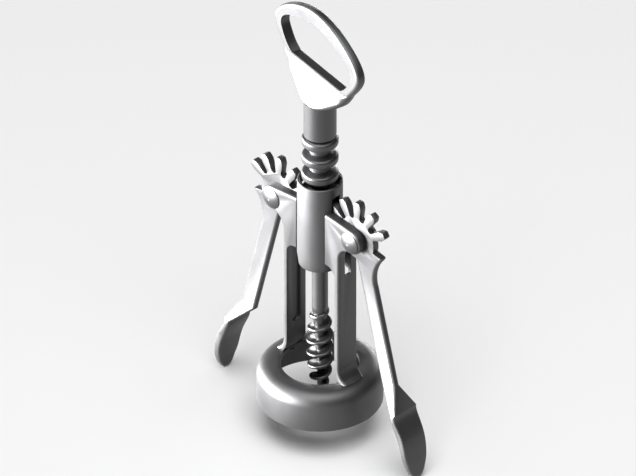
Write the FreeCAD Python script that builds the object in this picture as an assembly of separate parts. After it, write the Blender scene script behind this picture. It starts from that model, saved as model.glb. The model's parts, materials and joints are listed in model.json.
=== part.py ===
import FreeCAD, Part
import math
import os
from FreeCAD import Vector

# Lever corkscrew: a cast yoke on a bell-shaped collar, two toothed levers, a ringed
# rack that slides in the yoke's barrel, and a spindle with handle and worm that
# turns inside the rack.  Millimetres, +Z up, origin at the centre of the collar's
# bottom rim.  The levers spread along X and their pivots lie along Y.

# ---------------------------------------------------------------- driving dimensions
# collar over the bottle's mouth
COLLAR_RADIUS = 25.0
COLLAR_HOLE_RADIUS = 15.5
COLLAR_HEIGHT = 16.0
COLLAR_SHOULDER = 5.5
COLLAR_WALL = 1.7

# rack and pinion
TEETH_PER_TURN = 12
TOOTH_PITCH = 8.0
PRESSURE_ANGLE = math.radians(20.0)
RACK_PITCH_RADIUS = 6.32
RACK_ADDENDUM = 0.98
RACK_TOOTH_WIDTH = 3.8
GEAR_TOOTH_WIDTH = 3.7
GEAR_ADDENDUM = 1.72
TIP_CLEARANCE = 0.4
GEAR_VALLEY_RADIUS = 9.2
GEAR_VALLEY_ROUND = 1.35
TOOTH_TIP_ROUND = 0.55
FIRST_TOOTH_ANGLE = 30.0
TOOTH_COUNT = 7
RINGS_BELOW_PIVOT = 2
RINGS_ABOVE_PIVOT = 5
RING_EDGE_ROUND = 1.3

# yoke: barrel, ears and legs
BARREL_TOP = 103.8
BARREL_BOTTOM = 64.6
BARREL_WALL = 1.0
BARREL_LIP_WALL = 0.4
BARREL_CHAMFER_HEIGHT = 4.9
RACK_CLEARANCE = 0.7
PIVOT_Z = 86.3
EAR_RADIUS = 5.2
EAR_TOP_SLOPE = math.radians(5.9)
EAR_EDGE_ROUND = 1.1
FRAME_DEPTH = 10.6
LEG_INNER_X = 13.25
LEG_THICKNESS = 2.2
ARCH_Z = 69.5
ARCH_ROUND = 4.4
ARMPIT_ROUND = 6.1
FOOT_HEIGHT = 5.8
INNER_FLARE_RISE = 0.7
FOOT_LENGTH = 4.0
LEG_GROOVE_WIDTH = 4.9
LEG_GROOVE_DEPTH = 1.3
LEG_GROOVE_START = 13.0
WINDOW_WIDTH = 4.4
WINDOW_END_ROOM = 0.9
SLOT_FLOOR_ROOM = 3.6

# levers
LEVER_THICKNESS = 2.9
LEVER_SIDE_CLEARANCE = 0.2
LEVER_LEAN = math.radians(14.85)
ARM_WIDTH = 7.6
ARM_INNER_OFFSET = 2.76
ARM_END_Z = 24.5
ARM_EDGE_ROUND = 1.2
PADDLE_THICKNESS = 3.2
PADDLE_EDGE_ROUND = 0.9
PADDLE_WIDTH = 12.6
PADDLE_TIP_Z = -13.0
PADDLE_TAPER_Z = 1.0
BLADE_START_OUT = 7.05
BLADE_START_DOWN = 8.85
BLADE_MIDDLE_OUT = 2.75
BLADE_TAPER_OUT = 5.4
BLADE_TIP_OUT = 1.75

# pivots
RIVET_SHANK_RADIUS = 2.0
RIVET_HEAD_RADIUS = 4.4
RIVET_HEAD_HEIGHT = 1.5
RIVET_RIM = 0.35
BUSH_WALL = 1.0
RUNNING_CLEARANCE = 0.05
PEG_RADIUS = 1.6
PEG_HEAD_RADIUS = 2.3
PEG_HEAD_HEIGHT = 0.7

# spindle, washers and ring
SPINDLE_RADIUS = 3.2
SPINDLE_BOTTOM = 43.0
WASHER_THICKNESS = 0.5
END_PLAY = 0.1
RING_THICKNESS = 0.9
RING_GROOVE_DEPTH = 0.5
RING_WIDTH = 1.7
RING_GAP = 2.6

# handle
STEM_RADIUS = 6.5
STEM_HEIGHT = 16.1
SPINDLE_SEAT_DEPTH = 6.1
TANG_RADIUS = 3.5
HANDLE_TURN = -10.0
LOOP_THICKNESS = 4.2
LOOP_EDGE_ROUND = 1.5
FAN_HEIGHT = 14.2
FAN_TOP_THICKNESS = 5.0
LOOP_HALF_WIDTH = 28.3
LOOP_HEIGHT = 26.9
OPENING_HALF_WIDTH = 23.6
OPENING_HEIGHT = 21.4
PIN_RADIUS = 1.0

# worm
WORM_TIP_Z = 4.5
WORM_PITCH = 5.84
FLIGHT_STEPS_PER_TURN = 16
FLIGHT_THICKNESS = 1.7
FLIGHT_RADIUS = 5.55
WORM_TIP_CORE_RADIUS = 1.2
SHANK_LENGTH = 12.0

# ---------------------------------------------------------------- worked-out sizes
GEAR_PITCH_RADIUS = TEETH_PER_TURN * TOOTH_PITCH / (2 * math.pi)
PIVOT_X = RACK_PITCH_RADIUS + GEAR_PITCH_RADIUS
GEAR_TIP_RADIUS = GEAR_PITCH_RADIUS + GEAR_ADDENDUM
GEAR_BASE_RADIUS = GEAR_PITCH_RADIUS * math.cos(PRESSURE_ANGLE)
RING_RADIUS = RACK_PITCH_RADIUS + RACK_ADDENDUM
RACK_ROOT_RADIUS = PIVOT_X - GEAR_TIP_RADIUS - TIP_CLEARANCE
BARREL_BORE_RADIUS = RING_RADIUS + RACK_CLEARANCE
BARREL_RADIUS = BARREL_BORE_RADIUS + BARREL_WALL
HALF_DEPTH = FRAME_DEPTH / 2
HALF_LEVER = LEVER_THICKNESS / 2
HALF_SLOT = HALF_LEVER + LEVER_SIDE_CLEARANCE
LEG_OUTER_X = LEG_INNER_X + LEG_THICKNESS
FOOT_TOP_Z = COLLAR_HEIGHT + FOOT_HEIGHT
FOOT_OUTER_X = COLLAR_HOLE_RADIUS + FOOT_LENGTH
PEG_X = COLLAR_HOLE_RADIUS + 0.45 * FOOT_LENGTH
COLLAR_ROOF_Z = COLLAR_HEIGHT - COLLAR_WALL
BUSH_BORE_RADIUS = RIVET_SHANK_RADIUS + RUNNING_CLEARANCE
BUSH_RADIUS = BUSH_BORE_RADIUS + BUSH_WALL
TOP_RING_Z = PIVOT_Z + (RINGS_ABOVE_PIVOT - 0.5) * TOOTH_PITCH
SLEEVE_TOP = TOP_RING_Z + RACK_TOOTH_WIDTH / 2 + 0.1
STEM_BOTTOM = SLEEVE_TOP + WASHER_THICKNESS + END_PLAY
STEM_TOP = STEM_BOTTOM + STEM_HEIGHT
SPINDLE_TOP = STEM_BOTTOM + SPINDLE_SEAT_DEPTH
SLEEVE_BORE_RADIUS = SPINDLE_RADIUS + RUNNING_CLEARANCE
WORM_NECK_RADIUS = 0.86 * SPINDLE_RADIUS
SHANK_RADIUS = 0.56 * SPINDLE_RADIUS
FAN_TOP_Z = STEM_TOP + FAN_HEIGHT
FAN_TOP_HALF_WIDTH = 0.78 * LOOP_HALF_WIDTH
UP = Vector(0, 0, 1)
ALONG_X = Vector(1, 0, 0)
ALONG_Y = Vector(0, 1, 0)
ORIGIN = Vector(0, 0, 0)


# ---------------------------------------------------------------- helpers
def line(start, end):
    return Part.LineSegment(start, end).toShape()


def arc(start, middle, end):
    return Part.Arc(start, middle, end).toShape()


def arc_about(centre_x, centre_z, radius, first, last):
    """Arc in the XZ plane, angles in degrees from +X towards +Z."""
    spots = []
    for angle in (first, (first + last) / 2, last):
        turn = math.radians(angle)
        spots.append(Vector(centre_x + radius * math.cos(turn), 0, centre_z + radius * math.sin(turn)))
    return arc(*spots)


def spline(points):
    curve = Part.BSplineCurve()
    curve.interpolate(points)
    return curve.toShape()


def rod(radius, bottom, top, x=0.0, y=0.0):
    return Part.makeCylinder(radius, top - bottom, Vector(x, y, bottom), UP)


def cross_rod(radius, x, z, start_y, end_y):
    return Part.makeCylinder(radius, end_y - start_y, Vector(x, start_y, z), ALONG_Y)


def block(x0, x1, half_y, z0, z1):
    return Part.makeBox(x1 - x0, 2 * half_y, z1 - z0, Vector(x0, -half_y, z0))


def turned(points):
    """Solid of revolution about Z from a closed outline of (radius, z) points."""
    spots = [Vector(radius, 0, z) for radius, z in points]
    face = Part.Face(Part.makePolygon(spots + spots[:1]))
    return face.revolve(ORIGIN, UP, 360)


def plate(edges, half_thickness):
    """Prism of an XZ outline, as thick on both sides of the XZ plane."""
    face = Part.Face(Part.Wire(edges))
    solid = face.extrude(Vector(0, 2 * half_thickness, 0))
    solid.translate(Vector(0, -half_thickness, 0))
    return solid


def mirrored(shape):
    return shape.mirror(ORIGIN, ALONG_X)


def rim_edges(solid, half_thickness, keep):
    """Edges of both flat faces of a plate whose middle passes the test keep(x, z)."""
    chosen = []
    for edge in solid.Edges:
        middle = edge.valueAt((edge.FirstParameter + edge.LastParameter) / 2)
        flat = all(abs(abs(corner.Y) - half_thickness) < 1e-6 for corner in edge.Vertexes)
        if flat and abs(abs(middle.y) - half_thickness) < 1e-6 and keep(middle.x, middle.z):
            chosen.append(edge)
    return chosen


def rounded_wire(centre, along_u, along_v, half_u, half_v, corner):
    """Rounded rectangle in the plane of two unit vectors."""
    signs = [(1, 1), (-1, 1), (-1, -1), (1, -1)]
    spots = []
    for quarter, (sign_u, sign_v) in enumerate(signs):
        for step in (0, 45, 90):
            turn = math.radians(90 * quarter + step)
            u = sign_u * (half_u - corner) + corner * math.cos(turn)
            v = sign_v * (half_v - corner) + corner * math.sin(turn)
            spots.append(centre + along_u * u + along_v * v)
    edges = []
    for quarter in range(4):
        start, middle, end = spots[3 * quarter:3 * quarter + 3]
        edges.append(arc(start, middle, end))
        edges.append(line(end, spots[(3 * quarter + 3) % 12]))
    return Part.Wire(edges)


# ---------------------------------------------------------------- collar and yoke
def bell_collar():
    outer = COLLAR_RADIUS
    shoulder_x = outer - COLLAR_SHOULDER
    shoulder_z = COLLAR_HEIGHT - COLLAR_SHOULDER
    inner_round = COLLAR_SHOULDER - COLLAR_WALL
    edges = [
        line(Vector(COLLAR_HOLE_RADIUS, 0, COLLAR_HEIGHT), Vector(shoulder_x, 0, COLLAR_HEIGHT)),
        arc_about(shoulder_x, shoulder_z, COLLAR_SHOULDER, 90, 0),
        line(Vector(outer, 0, shoulder_z), Vector(outer, 0, 0)),
        line(Vector(outer, 0, 0), Vector(outer - COLLAR_WALL, 0, 0)),
        line(Vector(outer - COLLAR_WALL, 0, 0), Vector(outer - COLLAR_WALL, 0, shoulder_z)),
        arc_about(shoulder_x, shoulder_z, inner_round, 0, 90),
        line(Vector(shoulder_x, 0, COLLAR_ROOF_Z), Vector(COLLAR_HOLE_RADIUS, 0, COLLAR_ROOF_Z)),
        line(Vector(COLLAR_HOLE_RADIUS, 0, COLLAR_ROOF_Z), Vector(COLLAR_HOLE_RADIUS, 0, COLLAR_HEIGHT)),
    ]
    ring = Part.Face(Part.Wire(edges)).revolve(ORIGIN, UP, 360)
    for side in (-1, 1):
        hole = rod(PEG_RADIUS, COLLAR_ROOF_Z - 1, COLLAR_HEIGHT + 1, side * PEG_X)
        ring = ring.cut(hole)
    return ring


def foot_peg():
    """Peg under the right foot, through the collar's roof, with its peened head."""
    shank = rod(PEG_RADIUS, COLLAR_ROOF_Z, COLLAR_HEIGHT, PEG_X)
    head = Part.makeCone(0.8 * PEG_HEAD_RADIUS, PEG_HEAD_RADIUS, PEG_HEAD_HEIGHT,
                         Vector(PEG_X, 0, COLLAR_ROOF_Z - PEG_HEAD_HEIGHT), UP)
    return shank.fuse(head)


def flare(inner_x, top_z, bottom_x):
    """Arc that leaves a vertical face at top_z and runs out to bottom_x on the collar."""
    run = bottom_x - inner_x
    drop = top_z - COLLAR_HEIGHT
    radius = (run * run + drop * drop) / (2 * run)
    sweep = math.degrees(math.asin(drop / radius))
    return arc_about(inner_x + radius, top_z, radius, 180, 180 + sweep)


def side_outline():
    """Outline of the right leg and ear in the XZ plane, closed inside the barrel."""
    inside = BARREL_BORE_RADIUS
    ear_touch = 90 - math.degrees(EAR_TOP_SLOPE)
    touch_x = PIVOT_X + EAR_RADIUS * math.cos(math.radians(ear_touch))
    touch_z = PIVOT_Z + EAR_RADIUS * math.sin(math.radians(ear_touch))
    root_z = touch_z + (touch_x - inside) * math.tan(EAR_TOP_SLOPE)
    ear_low = PIVOT_Z - EAR_RADIUS
    armpit_x = LEG_OUTER_X + ARMPIT_ROUND
    armpit_z = ear_low - ARMPIT_ROUND
    arch_x = LEG_INNER_X - ARCH_ROUND
    edges = [
        line(Vector(inside, 0, ARCH_Z), Vector(inside, 0, root_z)),
        line(Vector(inside, 0, root_z), Vector(touch_x, 0, touch_z)),
        arc_about(PIVOT_X, PIVOT_Z, EAR_RADIUS, ear_touch, -90),
    ]
    if PIVOT_X - armpit_x > 1e-3:
        edges.append(line(Vector(PIVOT_X, 0, ear_low), Vector(armpit_x, 0, ear_low)))
    edges += [
        arc_about(armpit_x, armpit_z, ARMPIT_ROUND, 90, 180),
        line(Vector(LEG_OUTER_X, 0, armpit_z), Vector(LEG_OUTER_X, 0, FOOT_TOP_Z)),
        flare(LEG_OUTER_X, FOOT_TOP_Z, FOOT_OUTER_X),
        line(Vector(FOOT_OUTER_X, 0, COLLAR_HEIGHT), Vector(COLLAR_HOLE_RADIUS, 0, COLLAR_HEIGHT)),
        flare(LEG_INNER_X, FOOT_TOP_Z + INNER_FLARE_RISE, COLLAR_HOLE_RADIUS),
        line(Vector(LEG_INNER_X, 0, FOOT_TOP_Z + INNER_FLARE_RISE), Vector(LEG_INNER_X, 0, ARCH_Z - ARCH_ROUND)),
        arc_about(arch_x, ARCH_Z - ARCH_ROUND, ARCH_ROUND, 0, 90),
        line(Vector(arch_x, 0, ARCH_Z), Vector(inside, 0, ARCH_Z)),
    ]
    return edges


def is_outer_rim(x, z):
    on_leg = x > LEG_OUTER_X - 0.01 and z < PIVOT_Z
    on_ear = x > BARREL_RADIUS and z > PIVOT_Z - EAR_RADIUS - 1
    return (on_leg or on_ear) and z > COLLAR_HEIGHT + 0.01


def yoke_side():
    """Right leg with its foot and the two ears, lever slot and groove included."""
    side = plate(side_outline(), HALF_DEPTH)
    side = side.makeFillet(EAR_EDGE_ROUND, rim_edges(side, HALF_DEPTH, is_outer_rim))
    past_foot = Part.makeBox(20, 40, FOOT_HEIGHT, Vector(LEG_INNER_X, -20, COLLAR_HEIGHT - 1))
    side = side.cut(past_foot.cut(rod(FOOT_OUTER_X, 0, PIVOT_Z)))
    slot_floor = PIVOT_Z - GEAR_TIP_RADIUS - SLOT_FLOOR_ROOM
    slot = block(BARREL_RADIUS, PIVOT_X + 2 * EAR_RADIUS, HALF_SLOT, slot_floor, BARREL_TOP)
    side = side.cut(slot)
    half_groove = LEG_GROOVE_WIDTH / 2
    groove_x = LEG_INNER_X + LEG_GROOVE_DEPTH
    groove_bottom = COLLAR_HEIGHT + LEG_GROOVE_START + half_groove
    groove = block(LEG_INNER_X - 1, groove_x, half_groove, groove_bottom, ARCH_Z - ARCH_ROUND / 2)
    rounded_end = Part.makeCylinder(half_groove, LEG_GROOVE_DEPTH + 1,
                                    Vector(LEG_INNER_X - 1, 0, groove_bottom), ALONG_X)
    side = side.cut(groove.fuse(rounded_end))
    rivet_hole = cross_rod(RIVET_SHANK_RADIUS, PIVOT_X, PIVOT_Z, -HALF_DEPTH - 1, HALF_DEPTH + 1)
    return side.cut(rivet_hole).fuse(foot_peg())


def barrel():
    lip = BARREL_BORE_RADIUS + BARREL_LIP_WALL
    straight = BARREL_BOTTOM + BARREL_CHAMFER_HEIGHT
    ease = 0.3
    return turned([
        (BARREL_BORE_RADIUS + ease, BARREL_TOP),
        (BARREL_RADIUS - ease, BARREL_TOP),
        (BARREL_RADIUS, BARREL_TOP - ease),
        (BARREL_RADIUS, straight),
        (lip, BARREL_BOTTOM),
        (BARREL_BORE_RADIUS, BARREL_BOTTOM),
        (BARREL_BORE_RADIUS, BARREL_TOP - ease),
    ])


def yoke_frame():
    right = yoke_side()
    body = barrel().fuse([right, mirrored(right)])
    body = body.cut(rod(BARREL_BORE_RADIUS, ARCH_Z - ARCH_ROUND, BARREL_TOP + 1))
    reach = math.sqrt(GEAR_TIP_RADIUS ** 2 - (PIVOT_X - BARREL_RADIUS) ** 2)
    window_low = PIVOT_Z - reach - WINDOW_END_ROOM
    window_high = PIVOT_Z + reach + 2 * WINDOW_END_ROOM
    window = block(-BARREL_RADIUS, BARREL_RADIUS, WINDOW_WIDTH / 2, window_low, window_high)
    return body.cut(window)


def rivet_head(face, height):
    """Domed head on the front (face -1) or back (face 1), a spherical cap on a short rim."""
    start = face * HALF_DEPTH
    rim = start + face * RIVET_RIM
    cap = height - RIVET_RIM
    ball = (RIVET_HEAD_RADIUS ** 2 + cap ** 2) / (2 * cap)
    half_sweep = math.asin(RIVET_HEAD_RADIUS / ball) / 2
    centre = rim + face * (cap - ball)
    middle = Vector(ball * math.sin(half_sweep), centre + face * ball * math.cos(half_sweep), 0)
    edges = [
        line(Vector(0, start, 0), Vector(RIVET_HEAD_RADIUS, start, 0)),
        line(Vector(RIVET_HEAD_RADIUS, start, 0), Vector(RIVET_HEAD_RADIUS, rim, 0)),
        arc(Vector(RIVET_HEAD_RADIUS, rim, 0), middle, Vector(0, start + face * height, 0)),
        line(Vector(0, start + face * height, 0), Vector(0, start, 0)),
    ]
    return Part.Face(Part.Wire(edges)).revolve(ORIGIN, ALONG_Y, 360)


def pivot_rivet(side):
    """Shank through both ears with a domed head at the front and a flatter one behind."""
    shank = cross_rod(RIVET_SHANK_RADIUS, 0, 0, -HALF_DEPTH, HALF_DEPTH)
    front = rivet_head(-1, RIVET_HEAD_HEIGHT)
    back = rivet_head(1, 0.8 * RIVET_HEAD_HEIGHT)
    rivet = shank.fuse([front, back]).removeSplitter()
    rivet.translate(Vector(side * PIVOT_X, 0, PIVOT_Z))
    return rivet


def pivot_bush(side):
    x = side * PIVOT_X
    outer = cross_rod(BUSH_RADIUS, x, PIVOT_Z, -HALF_LEVER, HALF_LEVER)
    return outer.cut(cross_rod(BUSH_BORE_RADIUS, x, PIVOT_Z, -HALF_LEVER - 1, HALF_LEVER + 1))


# ---------------------------------------------------------------- levers
def involute(angle):
    return math.tan(angle) - angle


def half_tooth_angle(radius):
    """Half the angle that an involute tooth takes up at a radius."""
    at_pitch = GEAR_TOOTH_WIDTH / (2 * GEAR_PITCH_RADIUS)
    here = math.acos(min(1.0, GEAR_BASE_RADIUS / radius))
    return at_pitch + involute(PRESSURE_ANGLE) - involute(here)


def tooth_gap():
    """One gap between teeth, about the +X axis of the pinion: involute sides, round bottom."""
    half_step = math.pi / TEETH_PER_TURN
    outer = []
    for step in range(5):
        radius = GEAR_TIP_RADIUS - (GEAR_TIP_RADIUS - GEAR_BASE_RADIUS) * step / 4
        angle = half_step - half_tooth_angle(radius)
        outer.append((radius * math.cos(angle), radius * math.sin(angle)))
    bottom = GEAR_VALLEY_RADIUS + GEAR_VALLEY_ROUND
    beyond = GEAR_TIP_RADIUS + 2
    flank_up = [Vector(x, 0, z) for x, z in outer]
    flank_down = [Vector(x, 0, -z) for x, z in outer]
    mouth_up = Vector(beyond, 0, outer[0][1] + 1)
    mouth_down = Vector(beyond, 0, -outer[0][1] - 1)
    side_up = Vector(bottom, 0, GEAR_VALLEY_ROUND)
    side_down = Vector(bottom, 0, -GEAR_VALLEY_ROUND)
    edges = [
        line(mouth_up, flank_up[0]),
        spline(flank_up),
        line(flank_up[-1], side_up),
        arc(side_up, Vector(GEAR_VALLEY_RADIUS, 0, 0), side_down),
        line(side_down, flank_down[-1]),
        spline(flank_down[::-1]),
        line(flank_down[0], mouth_down),
        line(mouth_down, mouth_up),
    ]
    return plate(edges, HALF_LEVER + 1)


def pinion():
    """Toothed sector about its pivot at the origin."""
    step = 360.0 / TEETH_PER_TURN
    first_gap = FIRST_TOOTH_ANGLE - step / 2
    slab = Part.makePlane(GEAR_TIP_RADIUS, LEVER_THICKNESS, Vector(0, -HALF_LEVER, 0), UP)
    sector = slab.revolve(ORIGIN, Vector(0, -1, 0), TOOTH_COUNT * step)
    sector.rotate(ORIGIN, ALONG_Y, -first_gap)
    hub = cross_rod(GEAR_VALLEY_RADIUS, 0, 0, -HALF_LEVER, HALF_LEVER)
    wheel = sector.fuse(hub).removeSplitter()
    gap = tooth_gap()
    for index in range(TOOTH_COUNT + 1):
        copy = gap.copy()
        copy.rotate(ORIGIN, ALONG_Y, -(first_gap + index * step))
        wheel = wheel.cut(copy)
    tips = []
    for edge in wheel.Edges:
        ends = [vertex.Point for vertex in edge.Vertexes]
        if len(ends) == 2 and abs(ends[0].y - ends[1].y) > HALF_LEVER:
            reach = math.hypot(ends[0].x, ends[0].z)
            if abs(reach - GEAR_TIP_RADIUS) < 0.01:
                tips.append(edge)
    return wheel.makeFillet(TOOTH_TIP_ROUND, tips)


def on_arm(along, across):
    """Point at a distance down the arm and across it (outwards), from the pivot."""
    down = Vector(math.sin(LEVER_LEAN), 0, -math.cos(LEVER_LEAN))
    out = Vector(math.cos(LEVER_LEAN), 0, math.sin(LEVER_LEAN))
    return down * along + out * across


def arm():
    """Flat arm with its stop shoulder, pivot at the origin."""
    inner = -ARM_INNER_OFFSET
    outer = inner + ARM_WIDTH
    length = (PIVOT_Z - ARM_END_Z) / math.cos(LEVER_LEAN)
    neck = [on_arm(21.2, outer), on_arm(17.1, outer + 0.2), on_arm(12.0, outer + 2.5),
            on_arm(7.6, outer + 6.9)]
    tip = Vector(GEAR_PITCH_RADIUS - 2.0, 0, -3.4)
    root = Vector(0.8 * GEAR_VALLEY_RADIUS, 0, -2.3)
    start = on_arm(0.9 * GEAR_VALLEY_RADIUS, inner)
    inner_end = on_arm(length, inner)
    outer_end = on_arm(length, outer)
    edges = [
        line(start, inner_end),
        line(inner_end, outer_end),
        line(outer_end, neck[0]),
        spline(neck),
        line(neck[-1], tip),
        line(tip, root),
        line(root, start),
    ]
    solid = plate(edges, HALF_LEVER)

    def long_side(x, z):
        across = x * math.cos(LEVER_LEAN) + z * math.sin(LEVER_LEAN)
        along = x * math.sin(LEVER_LEAN) - z * math.cos(LEVER_LEAN)
        inner_side = abs(across - inner) < 0.01
        outer_side = across > outer - 0.01 and along > 8
        return (inner_side or outer_side) and along < length - 0.01

    return solid.makeFillet(ARM_EDGE_ROUND, rim_edges(solid, HALF_LEVER, long_side))


def paddle_section(x, z, lean, thick, wide, edge=PADDLE_EDGE_ROUND):
    """Rounded section across the paddle, x and z from the pivot, lean from upright in degrees."""
    turn = math.radians(lean)
    out = Vector(math.cos(turn), 0, math.sin(turn))
    corner = min(edge, 0.92 * thick, 0.92 * wide)
    return rounded_wire(Vector(x, 0, z), out, ALONG_Y, thick, wide, corner)


def paddle():
    """Arm's end turned flat, a straight blade and a thumb-shaped tip, pivot at the origin."""
    half_thick = PADDLE_THICKNESS / 2
    half_wide = PADDLE_WIDTH / 2
    lean = math.degrees(LEVER_LEAN)
    length = (PIVOT_Z - ARM_END_Z) / math.cos(LEVER_LEAN)
    arm_end = on_arm(length, ARM_WIDTH / 2 - ARM_INNER_OFFSET)
    neck = paddle_section(arm_end.x, arm_end.z, lean, ARM_WIDTH / 2, HALF_LEVER, ARM_EDGE_ROUND)
    blade_start = arm_end + Vector(BLADE_START_OUT, 0, -BLADE_START_DOWN)
    blade = paddle_section(blade_start.x, blade_start.z, 24, half_thick, 0.98 * half_wide)
    twist = Part.makeLoft([neck, blade], True, True)
    sections = [blade]
    tip_z = PADDLE_TIP_Z - PIVOT_Z
    taper_z = PADDLE_TAPER_Z - PIVOT_Z
    middle = blade_start + Vector(BLADE_MIDDLE_OUT, 0, 0.5 * (taper_z - blade_start.z))
    sections.append(paddle_section(middle.x, middle.z, 20, half_thick, half_wide))
    taper_x = blade_start.x + BLADE_TAPER_OUT
    for share in (0.0, 0.25, 0.5, 0.7, 0.85, 0.95, 0.99):
        wide = 0.97 * half_wide * (1 - share ** 1.75) ** 0.6
        x = taper_x + BLADE_TIP_OUT * math.sin(share * math.pi / 2)
        z = taper_z + share * (tip_z - taper_z)
        sections.append(paddle_section(x, z, 16 - 12 * share, min(half_thick, 0.75 * wide), wide))
    return twist.fuse(Part.makeLoft(sections, True, False))


def right_lever():
    lever = arm().fuse([pinion(), paddle()]).removeSplitter()
    lever = lever.cut(cross_rod(BUSH_RADIUS, 0, 0, -HALF_LEVER - 1, HALF_LEVER + 1))
    lever.translate(Vector(PIVOT_X, 0, PIVOT_Z))
    return lever


# ---------------------------------------------------------------- rack and spindle
def ring_heights():
    return [PIVOT_Z + (index + 0.5) * TOOTH_PITCH
            for index in range(-RINGS_BELOW_PIVOT, RINGS_ABOVE_PIVOT)]


def sleeve_bottom():
    slope = math.tan(PRESSURE_ANGLE)
    return ring_heights()[0] - RACK_TOOTH_WIDTH / 2 - (RACK_PITCH_RADIUS - RACK_ROOT_RADIUS) * slope


def rack_sleeve():
    slope = math.tan(PRESSURE_ANGLE)
    half_tip = RACK_TOOTH_WIDTH / 2 - RACK_ADDENDUM * slope
    half_root = RACK_TOOTH_WIDTH / 2 + (RACK_PITCH_RADIUS - RACK_ROOT_RADIUS) * slope
    outline = []
    for z in ring_heights():
        outline += [
            (RACK_ROOT_RADIUS, z - half_root),
            (RING_RADIUS, z - half_tip),
            (RING_RADIUS, z + half_tip),
            (RACK_ROOT_RADIUS, z + half_root),
        ]
    outline += [(SLEEVE_BORE_RADIUS, TOP_RING_Z + half_root), (SLEEVE_BORE_RADIUS, sleeve_bottom())]
    sleeve = turned(outline)
    sleeve = sleeve.cut(rod(2 * RING_RADIUS, SLEEVE_TOP, SLEEVE_TOP + 2 * TOOTH_PITCH))
    rims = [edge for edge in sleeve.Edges
            if hasattr(edge.Curve, "Radius") and abs(edge.Curve.Radius - RING_RADIUS) < 1e-4]
    return sleeve.makeFillet(RING_EDGE_ROUND, rims)


def washer(bottom):
    ring = rod(RACK_ROOT_RADIUS + 0.5, bottom, bottom + WASHER_THICKNESS)
    return ring.cut(rod(SLEEVE_BORE_RADIUS, bottom - 1, bottom + WASHER_THICKNESS + 1))


def retaining_z():
    return sleeve_bottom() - END_PLAY - WASHER_THICKNESS - RING_THICKNESS


def retaining_ring():
    bottom = retaining_z()
    inner = SPINDLE_RADIUS - RING_GROOVE_DEPTH
    ring = rod(inner + RING_WIDTH, bottom, bottom + RING_THICKNESS)
    ring = ring.cut(rod(inner, bottom - 1, bottom + RING_THICKNESS + 1))
    return ring.cut(Part.makeBox(10, RING_GAP, 3, Vector(-10, -RING_GAP / 2, bottom - 1)))


def back_pin_hole(z, depth, radius=PIN_RADIUS):
    """Blind radial hole or pin from behind, on the side away from the front."""
    direction = Vector(-1, 1, 0).normalize()
    return Part.makeCylinder(radius, depth, direction * (STEM_RADIUS - depth) + UP * z, direction)


def spindle_shaft():
    neck = SPINDLE_RADIUS - RING_GROOVE_DEPTH
    ring_z = retaining_z()
    ease = 0.3
    shaft = turned([
        (0, SPINDLE_BOTTOM),
        (SPINDLE_RADIUS, SPINDLE_BOTTOM),
        (SPINDLE_RADIUS, ring_z),
        (neck, ring_z),
        (neck, ring_z + RING_THICKNESS),
        (SPINDLE_RADIUS, ring_z + RING_THICKNESS),
        (SPINDLE_RADIUS, SPINDLE_TOP - ease),
        (SPINDLE_RADIUS - ease, SPINDLE_TOP),
        (0, SPINDLE_TOP),
    ])
    shaft = shaft.cut(rod(SHANK_RADIUS, SPINDLE_BOTTOM - 1, SPINDLE_BOTTOM + SHANK_LENGTH))
    return shaft.cut(worm_pin())


def handle_stem():
    stem = rod(STEM_RADIUS, STEM_BOTTOM, STEM_TOP)
    low_edge = [edge for edge in stem.Edges
                if len(edge.Vertexes) == 1 and abs(edge.Vertexes[0].Z - STEM_BOTTOM) < 1e-6]
    stem = stem.makeChamfer(0.4, low_edge)
    stem = stem.cut(rod(SPINDLE_RADIUS, STEM_BOTTOM - 1, SPINDLE_TOP))
    stem = stem.cut(rod(TANG_RADIUS, SPINDLE_TOP, STEM_TOP + 1))
    return stem.cut(handle_cross_pin())


def handle_cross_pin():
    return back_pin_hole(STEM_TOP - 3.0, STEM_RADIUS - 0.5)


def worm_pin():
    """Pin through spindle and shank, flush on both sides."""
    z = SPINDLE_BOTTOM + SHANK_LENGTH / 2
    direction = Vector(-1, 1, 0).normalize()
    length = SPINDLE_RADIUS + SHANK_RADIUS
    pin = Part.makeCylinder(0.45 * SHANK_RADIUS, length, UP * z - direction * SHANK_RADIUS, direction)
    return pin.common(rod(SPINDLE_RADIUS, z - 2, z + 2))


# ---------------------------------------------------------------- handle
def loop_curve(half, from_bottom):
    """Right half of a loop, listed upwards, joined to its mirror image by one spline."""
    right = [Vector(x, 0, FAN_TOP_Z + z) for x, z in from_bottom]
    left = [Vector(-spot.x, 0, spot.z) for spot in right]
    top = [Vector(0, 0, FAN_TOP_Z + half)]
    return spline(right + top + left[::-1])


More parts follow.
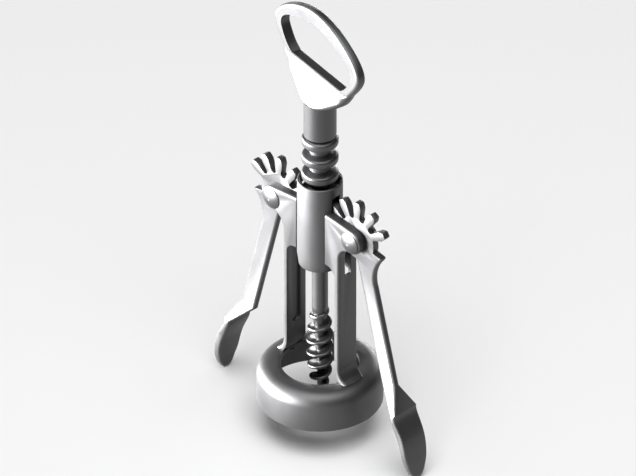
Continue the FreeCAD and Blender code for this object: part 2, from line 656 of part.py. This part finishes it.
def handle_loop():
    wide = LOOP_HALF_WIDTH
    high = LOOP_HEIGHT
    outer_points = [(FAN_TOP_HALF_WIDTH, 0), (0.905 * wide, 0.165 * high), (wide, 0.41 * high),
                    (0.90 * wide, 0.61 * high), (0.71 * wide, 0.765 * high), (0.46 * wide, 0.90 * high)]
    outer = loop_curve(high, outer_points)
    base = line(Vector(-FAN_TOP_HALF_WIDTH, 0, FAN_TOP_Z), Vector(FAN_TOP_HALF_WIDTH, 0, FAN_TOP_Z))
    solid = plate([outer, base], LOOP_THICKNESS / 2)

    def on_rim(x, z):
        return z > FAN_TOP_Z + 0.1

    solid = solid.makeFillet(LOOP_EDGE_ROUND, rim_edges(solid, LOOP_THICKNESS / 2, on_rim))
    wide = OPENING_HALF_WIDTH
    high = OPENING_HEIGHT
    inner_points = [(0.68 * wide, 0), (0.826 * wide, 0.127 * high), (0.94 * wide, 0.312 * high),
                    (wide, 0.48 * high), (0.96 * wide, 0.62 * high), (0.83 * wide, 0.742 * high),
                    (0.61 * wide, 0.85 * high), (0.31 * wide, 0.946 * high)]
    inner = loop_curve(high, inner_points)
    foot = line(Vector(-0.68 * wide, 0, FAN_TOP_Z), Vector(0.68 * wide, 0, FAN_TOP_Z))
    return solid.cut(plate([inner, foot], LOOP_THICKNESS))


def handle_fan():
    """Wedge that spreads from the round stem to the bar under the loop."""
    rows = [
        (0.00, STEM_RADIUS - 0.2, STEM_RADIUS - 0.25),
        (0.08, 0.43 * FAN_TOP_HALF_WIDTH, STEM_RADIUS - 0.6),
        (0.27, 0.60 * FAN_TOP_HALF_WIDTH, 0.95 * FAN_TOP_THICKNESS),
        (0.53, 0.79 * FAN_TOP_HALF_WIDTH, 0.72 * FAN_TOP_THICKNESS),
        (0.80, 0.92 * FAN_TOP_HALF_WIDTH, 0.58 * FAN_TOP_THICKNESS),
        (0.93, 0.97 * FAN_TOP_HALF_WIDTH, 0.53 * FAN_TOP_THICKNESS),
        (1.00, 0.99 * FAN_TOP_HALF_WIDTH, 0.35 * FAN_TOP_THICKNESS),
    ]
    wires = []
    for share, half_wide, half_thick in rows:
        centre = Vector(0, 0, STEM_TOP + share * FAN_HEIGHT)
        corner = 0.9 * min(half_wide, half_thick)
        wires.append(rounded_wire(centre, ALONG_X, ALONG_Y, half_wide, half_thick, corner))
    return Part.makeLoft(wires, True, False)


def opener_handle():
    tang = rod(TANG_RADIUS, SPINDLE_TOP, STEM_TOP + 1)
    handle = handle_loop().fuse([handle_fan(), tang]).removeSplitter()
    handle.rotate(ORIGIN, UP, HANDLE_TURN)
    return handle.cut(handle_cross_pin())


# ---------------------------------------------------------------- worm
def core_outline():
    """Radius and height of the core from the tip up: slim cone, then a shoulder."""
    length = SPINDLE_BOTTOM - WORM_TIP_Z
    return [
        (WORM_TIP_CORE_RADIUS, WORM_TIP_Z + 0.3 * WORM_TIP_CORE_RADIUS),
        (1.05 * WORM_TIP_CORE_RADIUS, WORM_TIP_Z + 0.35 * length),
        (WORM_NECK_RADIUS, WORM_TIP_Z + 0.88 * length),
        (SPINDLE_RADIUS, SPINDLE_BOTTOM),
    ]


def flight_reach(share):
    """Outer radius of the flight at a share of the worm's height, tip 0, spindle 1."""
    swell = math.sin(math.pi * (0.06 + 0.88 * share)) ** 0.4
    return SPINDLE_RADIUS * 0.15 + (FLIGHT_RADIUS - SPINDLE_RADIUS * 0.15) * swell


def flight():
    """Right-handed flight, lofted through radial sections around the core."""
    length = SPINDLE_BOTTOM - WORM_TIP_Z
    steps = int(FLIGHT_STEPS_PER_TURN * (length - 1.15 * FLIGHT_THICKNESS - 0.3) / WORM_PITCH)
    half_root = 0.55 * FLIGHT_THICKNESS
    half_tip = 0.38 * FLIGHT_THICKNESS
    sections = []
    for step in range(steps + 1):
        turn = 2 * math.pi * step / FLIGHT_STEPS_PER_TURN
        height = 0.6 * FLIGHT_THICKNESS + WORM_PITCH * step / FLIGHT_STEPS_PER_TURN
        share = height / length
        outward = Vector(math.cos(turn), math.sin(turn), 0)
        middle = UP * (WORM_TIP_Z + height)
        root = 0.5 * WORM_TIP_CORE_RADIUS + (WORM_NECK_RADIUS - WORM_TIP_CORE_RADIUS) * max(0, share - 0.3)
        corners = [
            middle + outward * root - UP * half_root,
            middle + outward * flight_reach(share) - UP * half_tip,
            middle + outward * flight_reach(share) + UP * half_tip,
            middle + outward * root + UP * half_root,
        ]
        sections.append(Part.makePolygon(corners + corners[:1]))
    return Part.makeLoft(sections, True, True)


def worm():
    """Cone core with its flight, and the shank that goes up into the spindle."""
    core = turned([
        (0, WORM_TIP_Z),
        (0.7 * WORM_TIP_CORE_RADIUS, WORM_TIP_Z),
        *core_outline(),
        (SHANK_RADIUS, SPINDLE_BOTTOM),
        (SHANK_RADIUS, SPINDLE_BOTTOM + SHANK_LENGTH),
        (0, SPINDLE_BOTTOM + SHANK_LENGTH),
    ])
    return core.fuse(flight()).cut(worm_pin())


# ---------------------------------------------------------------- all nodes
def build():
    lever = right_lever()
    nodes = {
        "yoke_frame": yoke_frame(),
        "bell_collar": bell_collar(),
        "right_lever": lever,
        "left_lever": mirrored(lever),
        "rack_sleeve": rack_sleeve(),
        "upper_thrust_washer": washer(SLEEVE_TOP),
        "lower_thrust_washer": washer(retaining_z() + RING_THICKNESS),
        "retaining_ring": retaining_ring(),
        "spindle_shaft": spindle_shaft(),
        "handle_stem": handle_stem(),
        "handle_cross_pin": handle_cross_pin(),
        "opener_handle": opener_handle(),
        "worm": worm(),
        "worm_pin": worm_pin(),
    }
    for name, side in (("left", -1), ("right", 1)):
        nodes[name + "_pivot_rivet"] = pivot_rivet(side)
        nodes[name + "_pivot_bush"] = pivot_bush(side)
    return nodes


os.makedirs("parts", exist_ok=True)
for node, shape in build().items():
    print(node, len(shape.Solids), round(shape.Volume, 2), shape.isValid())
    shape.exportStep("parts/" + node + ".step")
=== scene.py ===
import json
import math
import bpy
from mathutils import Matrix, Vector


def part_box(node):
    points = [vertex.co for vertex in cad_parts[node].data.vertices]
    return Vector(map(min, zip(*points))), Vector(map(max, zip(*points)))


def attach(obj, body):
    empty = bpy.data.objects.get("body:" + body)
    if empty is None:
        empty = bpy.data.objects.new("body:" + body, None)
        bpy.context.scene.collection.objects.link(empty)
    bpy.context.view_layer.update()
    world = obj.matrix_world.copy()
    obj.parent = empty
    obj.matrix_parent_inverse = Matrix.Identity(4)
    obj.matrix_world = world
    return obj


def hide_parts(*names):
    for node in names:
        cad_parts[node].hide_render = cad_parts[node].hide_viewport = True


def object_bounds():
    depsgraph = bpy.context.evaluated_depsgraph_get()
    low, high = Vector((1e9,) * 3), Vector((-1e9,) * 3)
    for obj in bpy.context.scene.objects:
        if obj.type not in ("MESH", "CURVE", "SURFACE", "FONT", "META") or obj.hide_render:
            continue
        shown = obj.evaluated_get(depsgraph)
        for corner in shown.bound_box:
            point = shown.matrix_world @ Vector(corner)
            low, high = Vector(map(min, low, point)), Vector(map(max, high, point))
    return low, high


# Lever corkscrew: satin plated castings, lathe-turned rack and spindle, bright worm.
# Metres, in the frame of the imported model: +Z up, levers along X, rivet heads at -Y.

MM = 0.001
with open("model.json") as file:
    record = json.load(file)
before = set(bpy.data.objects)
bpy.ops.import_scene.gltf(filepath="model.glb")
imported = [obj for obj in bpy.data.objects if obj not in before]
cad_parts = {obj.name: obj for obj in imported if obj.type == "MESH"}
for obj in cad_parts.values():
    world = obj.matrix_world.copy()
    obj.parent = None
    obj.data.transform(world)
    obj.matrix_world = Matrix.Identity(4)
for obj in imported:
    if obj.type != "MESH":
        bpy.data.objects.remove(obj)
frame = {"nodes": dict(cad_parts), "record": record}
cad_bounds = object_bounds()
nodes = frame["nodes"]
bodies = frame["record"]["behaviour"]["bodies"]
body_of_node = {node: body for body, members in bodies.items() for node in members}
slot_of_node = {row["node"]: row["material_slot"] for row in frame["record"]["subparts"]}


# ---------------------------------------------------------------- camera, light, floor
CAMERA_AZIMUTH = math.radians(45)
CAMERA_ELEVATION = math.atan(1 / math.sqrt(2))
CAMERA_TARGET = Vector((-0.55, -0.55, 75.36)) * MM
CAMERA_DISTANCE = 6.9
LONG_LENS = 1000
SENSOR_WIDTH = 36
FLOOR_SIZE = 12
FLOOR_TONE = 0.86
WORLD_STRENGTH = 0.08


def add_camera():
    """Equal-angle view from the front right, with a lens long enough to keep edges parallel."""
    camera_data = bpy.data.cameras.new("camera")
    camera_data.lens = LONG_LENS
    camera_data.sensor_width = SENSOR_WIDTH
    camera_data.clip_start = 0.5
    camera_data.clip_end = 30
    camera = bpy.data.objects.new("camera", camera_data)
    bpy.context.collection.objects.link(camera)
    level = math.cos(CAMERA_ELEVATION)
    back = Vector((math.sin(CAMERA_AZIMUTH) * level, -math.cos(CAMERA_AZIMUTH) * level,
                   math.sin(CAMERA_ELEVATION)))
    camera.location = CAMERA_TARGET + back * CAMERA_DISTANCE
    camera.rotation_mode = "QUATERNION"
    camera.rotation_quaternion = (-back).to_track_quat("-Z", "Y")
    bpy.context.scene.camera = camera


def add_area_light(name, place, aim, size, power, spared=None):
    """Soft rectangular light; what it spares (the floor) gets none of it."""
    light_data = bpy.data.lights.new(name, "AREA")
    light_data.shape = "RECTANGLE"
    light_data.size = size[0]
    light_data.size_y = size[1]
    light_data.energy = power
    light = bpy.data.objects.new(name, light_data)
    bpy.context.collection.objects.link(light)
    light.location = place
    light.rotation_mode = "QUATERNION"
    light.rotation_quaternion = (Vector(aim) - Vector(place)).to_track_quat("-Z", "Y")
    if spared:
        skip = bpy.data.collections.new(name + "_spares")
        skip.objects.link(spared)
        skip.collection_objects[0].light_linking.link_state = "EXCLUDE"
        light.light_linking.receiver_collection = skip


def add_floor():
    """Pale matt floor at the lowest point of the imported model."""
    lowest = cad_bounds[0][2]
    bpy.ops.mesh.primitive_plane_add(size=FLOOR_SIZE, location=(0, 0, lowest))
    floor = bpy.context.object
    floor.name = "floor"
    paint = bpy.data.materials.new("pale_floor")
    paint.use_nodes = True
    shader = paint.node_tree.nodes["Principled BSDF"]
    shader.inputs["Base Color"].default_value = (FLOOR_TONE, FLOOR_TONE, FLOOR_TONE, 1)
    shader.inputs["Roughness"].default_value = 0.9
    floor.data.materials.append(paint)
    return floor


def light_the_set(floor):
    """Dim white world, three low lights for the pieces alone and a broad one overhead."""
    world = bpy.data.worlds.new("studio")
    bpy.context.scene.world = world
    world.use_nodes = True
    background = world.node_tree.nodes["Background"]
    background.inputs["Color"].default_value = (1, 1, 1, 1)
    background.inputs["Strength"].default_value = WORLD_STRENGTH
    add_area_light("key_low_left", (-0.87, -1.23, 0.09), (0, 0, 0.08), (1.1, 0.5), 380, spared=floor)
    add_area_light("fill_left", (-1.4, -0.75, 0.06), (0, 0, 0.03), (0.9, 0.4), 220, spared=floor)
    add_area_light("fill_back", (-0.9, 1.7, 0.12), (0, 0, 0.07), (1.2, 0.4), 34, spared=floor)
    add_area_light("overhead", (0.5, -0.5, 2.4), (0, 0, 0.05), (2.4, 2.4), 84)
    bpy.context.scene.view_settings.view_transform = "Standard"


# ---------------------------------------------------------------- materials
def node_maker(material):
    """The material's node tree, and a maker of nodes that takes inputs and settings by name."""
    tree = material.node_tree

    def add(kind, **settings):
        node = tree.nodes.new(kind)
        for key, value in settings.items():
            if key in node.inputs:
                node.inputs[key].default_value = value
            else:
                setattr(node, key, value)
        return node

    return tree, add


SMUDGE_SCALE = 70.0
SMUDGE_TONE = 0.1
SMUDGE_GLOSS = 0.06
GRAIN_SCALE = 900.0
COARSE_GRAIN_SCALE = 350.0
GRAIN_DEPTH = 0.05 * MM
TOOL_MARK_DEPTH = 0.04 * MM
TOOL_MARK_SCALE = 520.0
TOOL_MARK_STRENGTH = 0.35
TOOL_MARK_WAVER = 1.5


def metal(name, colour, roughness, grain=0.0, grain_scale=GRAIN_SCALE, turned=False):
    """Metal with smudged tone and roughness, and tool marks on turned pieces or grain on others."""
    material = bpy.data.materials.new(name)
    material.use_nodes = True
    tree, add = node_maker(material)
    link = tree.links.new
    shader = tree.nodes["Principled BSDF"]
    shader.inputs["Metallic"].default_value = 1.0
    place = add("ShaderNodeTexCoord")
    smudge = add("ShaderNodeTexNoise", Scale=SMUDGE_SCALE, Detail=4.0, Roughness=0.6)
    link(place.outputs["Object"], smudge.inputs["Vector"])
    shade = add("ShaderNodeMixRGB", blend_type="MIX")
    dark = [part * (1 - SMUDGE_TONE) for part in colour]
    light = [part * (1 + SMUDGE_TONE) for part in colour]
    shade.inputs["Color1"].default_value = (*dark, 1)
    shade.inputs["Color2"].default_value = (*light, 1)
    link(smudge.outputs["Fac"], shade.inputs["Fac"])
    link(shade.outputs["Color"], shader.inputs["Base Color"])
    gloss = add("ShaderNodeMapRange")
    gloss.inputs["To Min"].default_value = roughness - SMUDGE_GLOSS
    gloss.inputs["To Max"].default_value = roughness + SMUDGE_GLOSS
    link(smudge.outputs["Fac"], gloss.inputs["Value"])
    link(gloss.outputs["Result"], shader.inputs["Roughness"])
    if turned:
        relief = add("ShaderNodeTexWave", wave_type="BANDS", bands_direction="Z",
                     Scale=TOOL_MARK_SCALE, Distortion=TOOL_MARK_WAVER, Detail=3.0)
        bump = add("ShaderNodeBump", Strength=TOOL_MARK_STRENGTH, Distance=TOOL_MARK_DEPTH)
    else:
        relief = add("ShaderNodeTexNoise", Scale=grain_scale, Detail=3.0)
        bump = add("ShaderNodeBump", Strength=grain, Distance=GRAIN_DEPTH)
    link(place.outputs["Object"], relief.inputs["Vector"])
    link(relief.outputs["Fac"], bump.inputs["Height"])
    link(bump.outputs["Normal"], shader.inputs["Normal"])
    return material


PLATE_TONE = (0.09, 0.09, 0.092)
STEEL_TONE = (0.085, 0.085, 0.087)
SPRING_TONE = (0.16, 0.16, 0.17)
BRASS_TONE = (0.60, 0.45, 0.22)
finishes = {
    "cast_frame": metal("satin_plate_frame", PLATE_TONE, 0.50, grain=0.25),
    "cast_collar": metal("satin_plate_collar", PLATE_TONE, 0.50, grain=0.25),
    "cast_lever": metal("satin_plate_lever", PLATE_TONE, 0.50, grain=0.25),
    "cast_handle": metal("satin_plate_handle", PLATE_TONE, 0.48, grain=0.2),
    "turned_rack": metal("turned_rack_steel", STEEL_TONE, 0.42, turned=True),
    "turned_spindle": metal("turned_spindle_steel", STEEL_TONE, 0.42, turned=True),
    "rivet_steel": metal("peened_rivet_steel", PLATE_TONE, 0.38, grain=0.3,
                         grain_scale=COARSE_GRAIN_SCALE),
    "worm_steel": metal("bright_worm_steel", STEEL_TONE, 0.36, grain=0.15),
    "washer_steel": metal("washer_steel", STEEL_TONE, 0.35, grain=0.2),
    "spring_steel": metal("dark_spring_steel", SPRING_TONE, 0.35, grain=0.2),
    "pin_steel": metal("pin_steel", STEEL_TONE, 0.35, grain=0.2),
    "bush_brass": metal("bush_brass", BRASS_TONE, 0.35, grain=0.2),
}


# ---------------------------------------------------------------- pieces
SMOOTH_ANGLE = math.radians(38.0)
WORM_SMOOTH_ANGLE = math.radians(35.0)
MERGE_DISTANCE = 0.002 * MM
FLAT_ANGLE = math.radians(1.0)
BEVEL_SEGMENTS = 2


def dress(piece, node, smooth_angle=SMOOTH_ANGLE):
    """Smooths a selected piece, gives it its node's finish and lets it stand for the node."""
    bpy.ops.object.shade_smooth_by_angle(angle=smooth_angle)
    piece.data.materials.clear()
    piece.data.materials.append(finishes[slot_of_node[node]])
    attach(piece, body_of_node[node])
    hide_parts(node)


def softened(node, name, width):
    """Copy of a CAD node with its loose triangles merged and its sharp edges eased."""
    bpy.ops.object.select_all(action="DESELECT")
    piece = bpy.data.objects.new(name, nodes[node].data.copy())
    bpy.context.collection.objects.link(piece)
    piece.select_set(True)
    bpy.context.view_layer.objects.active = piece
    bpy.ops.object.mode_set(mode="EDIT")
    bpy.ops.mesh.select_all(action="SELECT")
    bpy.ops.mesh.remove_doubles(threshold=MERGE_DISTANCE)
    bpy.ops.mesh.dissolve_limited(angle_limit=FLAT_ANGLE)
    bpy.ops.object.mode_set(mode="OBJECT")
    bevel = piece.modifiers.new("eased_edges", "BEVEL")
    bevel.width = width
    bevel.segments = BEVEL_SEGMENTS
    bevel.limit_method = "ANGLE"
    bevel.angle_limit = SMOOTH_ANGLE
    bevel.use_clamp_overlap = True
    bpy.ops.object.modifier_apply(modifier=bevel.name)
    dress(piece, node)


def start_mesh(name):
    """Names the primitive that was just added and leaves it in edit mode, all selected."""
    piece = bpy.context.object
    piece.name = name
    bpy.ops.object.mode_set(mode="EDIT")
    bpy.ops.mesh.select_all(action="SELECT")
    return piece


def turned_mesh(name, outline, sides):
    """Round piece about Z: a circle extruded and resized through (radius, z) rows."""
    bpy.ops.object.select_all(action="DESELECT")
    radius, height = outline[0]
    bpy.ops.mesh.primitive_circle_add(vertices=sides, radius=radius, fill_type="NGON",
                                      location=(0, 0, height))
    piece = start_mesh(name)
    for next_radius, next_height in outline[1:]:
        rise = next_height - height
        bpy.ops.mesh.extrude_region_move(TRANSFORM_OT_translate={"value": (0, 0, rise)})
        grow = next_radius / radius
        bpy.ops.transform.resize(value=(grow, grow, 1), center_override=(0, 0, next_height))
        radius, height = next_radius, next_height
    bpy.ops.mesh.select_all(action="SELECT")
    bpy.ops.mesh.normals_make_consistent(inside=False)
    bpy.ops.object.mode_set(mode="OBJECT")
    return piece


def apply_place(piece):
    """Moves a piece's place, turn and size into its mesh, and leaves only it selected."""
    bpy.ops.object.select_all(action="DESELECT")
    piece.select_set(True)
    bpy.context.view_layer.objects.active = piece
    bpy.ops.object.transform_apply(location=True, rotation=True, scale=True)


# ---------------------------------------------------------------- worm
# Millimetres.  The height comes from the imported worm's own box, less the shank.  A share is a
# height on the way from the tip, 0, to the spindle's end, 1.
SHANK_HEIGHT = 12.0

CORE_TIP_RADIUS = 1.2
CORE_FLARE = 0.15
CORE_STRAIGHT_GROWTH = 1.05
CORE_NECK_RADIUS = 2.75
NECK_START_SHARE = 0.35
NECK_END_SHARE = 0.88
CORE_SIDES = 48
TIP_ROWS = ((0.25, 0.0), (0.8, 0.35), (1.15, 1.0))
CORE_SHARES = (0.12, 0.25, 0.35, 0.5, 0.65, 0.8, 0.88)
SHOULDER_ROWS = ((0.93, 2.2), (0.985, 1.2), (0.985, 0.0))

WORM_PITCH = 5.84
FLIGHT_RADIUS = 5.5
FLIGHT_LEAST_RADIUS = 0.5
FLIGHT_HALF_THICKNESS = 0.85
FLIGHT_START = 1.0
FLIGHT_END_ROOM = 2.3
FLIGHT_ROOT = 0.6
SWELL_START = 0.06
SWELL_RANGE = 0.88
SWELL_POWER = 0.4
TIP_FADE_SHARE = 0.035
END_FADE_SHARE = 0.02
SECTION_SIDES = 20
SECTION_DEPTH_POWER = 0.55
SECTION_THICKNESS_POWER = 0.75
STEPS_PER_TURN = 48

# The section is screwed up at a draft radius first; its points' depths are read off from there.
DRAFT_CENTRE = 4.0
DRAFT_INSIDE = 2.0


def worm_span():
    """Height of the worm's tip and of the spindle's end, in metres."""
    low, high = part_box("worm")
    return low[2], high[2] - SHANK_HEIGHT * MM


def flight_reach(share):
    """Outer radius of the flight: small at the tip, full for most of the height."""
    swell = max(0.0, math.sin(math.pi * (SWELL_START + SWELL_RANGE * share))) ** SWELL_POWER
    return FLIGHT_LEAST_RADIUS + (FLIGHT_RADIUS - FLIGHT_LEAST_RADIUS) * swell


def core_radius(share):
    """Radius of the core: nearly straight from the tip, then a cone up to the spindle."""
    if share < NECK_START_SHARE:
        return CORE_TIP_RADIUS * (1 + CORE_FLARE * share)
    straight = CORE_TIP_RADIUS * CORE_STRAIGHT_GROWTH
    climb = (share - NECK_START_SHARE) / (NECK_END_SHARE - NECK_START_SHARE)
    return straight + (CORE_NECK_RADIUS - straight) * climb


def rounded(value, power):
    """A power of the value that keeps its sign."""
    return math.copysign(abs(value) ** power, value)


def shape_section(piece):
    """Squares up the drafted circle to the flight's section, 1 mm deep from DRAFT_INSIDE out."""
    for vertex in piece.data.vertices:
        across = vertex.co.x / MM - DRAFT_CENTRE
        along = vertex.co.z / MM
        vertex.co.x = (0.5 + 0.5 * rounded(across, SECTION_DEPTH_POWER)) * MM
        vertex.co.z = FLIGHT_HALF_THICKNESS * rounded(along, SECTION_THICKNESS_POWER) * MM
        vertex.co.x += DRAFT_INSIDE * MM


def fit_flight_to_core(piece, tip, length):
    """Sets each point's radius between the core and the flight's reach, and lifts it in place."""
    for vertex in piece.data.vertices:
        reach = math.hypot(vertex.co.x, vertex.co.y) / MM
        depth = reach - DRAFT_INSIDE
        share = min(1.0, max(0.0, (FLIGHT_START + vertex.co.z / MM) / length))
        fade = min(1.0, share / TIP_FADE_SHARE, (1.0 - share) / END_FADE_SHARE)
        fade = max(0.0, fade) ** 0.5
        inner = FLIGHT_ROOT * core_radius(share)
        outer = core_radius(share) + (flight_reach(share) - core_radius(share)) * fade
        radius = inner + (outer - inner) * depth
        vertex.co.x *= radius / reach
        vertex.co.y *= radius / reach
        vertex.co.z += tip + FLIGHT_START * MM


def worm_flight():
    """Rounded section screwed up the worm's height, closed at both ends."""
    tip, top = worm_span()
    length = (top - tip) / MM
    bpy.ops.object.select_all(action="DESELECT")
    bpy.ops.mesh.primitive_circle_add(vertices=SECTION_SIDES, radius=MM, fill_type="NOTHING",
                                      rotation=(math.pi / 2, 0, 0), location=(DRAFT_CENTRE * MM, 0, 0))
    piece = bpy.context.object
    piece.name = "worm_flight"
    apply_place(piece)
    shape_section(piece)
    turns = (length - FLIGHT_END_ROOM) / WORM_PITCH
    screw = piece.modifiers.new("screw", "SCREW")
    screw.axis = "Z"
    screw.angle = 2 * math.pi * turns
    screw.screw_offset = WORM_PITCH * turns * MM
    screw.steps = int(STEPS_PER_TURN * turns)
    screw.render_steps = screw.steps
    screw.use_merge_vertices = False
    bpy.ops.object.modifier_apply(modifier=screw.name)
    fit_flight_to_core(piece, tip, length)
    bpy.ops.object.mode_set(mode="EDIT")
    bpy.ops.mesh.select_all(action="SELECT")
    bpy.ops.mesh.fill_holes(sides=0)
    bpy.ops.mesh.select_all(action="SELECT")
    bpy.ops.mesh.normals_make_consistent(inside=False)
    bpy.ops.object.mode_set(mode="OBJECT")
    return piece


def worm_core():
    """Turned core from a blunt tip up to a shoulder just inside the spindle's radius."""
    tip, top = worm_span()
    length = top - tip
    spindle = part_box("spindle_shaft")[1][0]
    rows = [(radius * MM, tip + above * MM) for radius, above in TIP_ROWS]
    rows += [(core_radius(share) * MM, tip + share * length) for share in CORE_SHARES]
    rows += [(part * spindle, top - below * MM) for part, below in SHOULDER_ROWS]
    return turned_mesh("worm_core", rows, CORE_SIDES)


def make_worm():
    """Core and flight joined to one closed piece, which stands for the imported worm."""
    flight = worm_flight()
    core = worm_core()
    bpy.ops.object.select_all(action="DESELECT")
    core.select_set(True)
    bpy.context.view_layer.objects.active = core
    join = core.modifiers.new("join_flight", "BOOLEAN")
    join.operation = "UNION"
    join.object = flight
    join.solver = "EXACT"
    bpy.ops.object.modifier_apply(modifier=join.name)
    bpy.data.objects.remove(flight, do_unlink=True)
    core.name = "worm_screw"
    apply_place(core)
    dress(core, "worm", WORM_SMOOTH_ANGLE)


# ---------------------------------------------------------------- build
add_camera()
light_the_set(add_floor())
for node_name, node_object in nodes.items():
    node_object.data.materials.clear()
    node_object.data.materials.append(finishes[slot_of_node[node_name]])
make_worm()
softened("yoke_frame", "yoke_casting", width=0.18 * MM)
softened("bell_collar", "bell_casting", width=0.25 * MM)
for side in ("left", "right"):
    softened(side + "_lever", side + "_lever_casting", width=0.22 * MM)
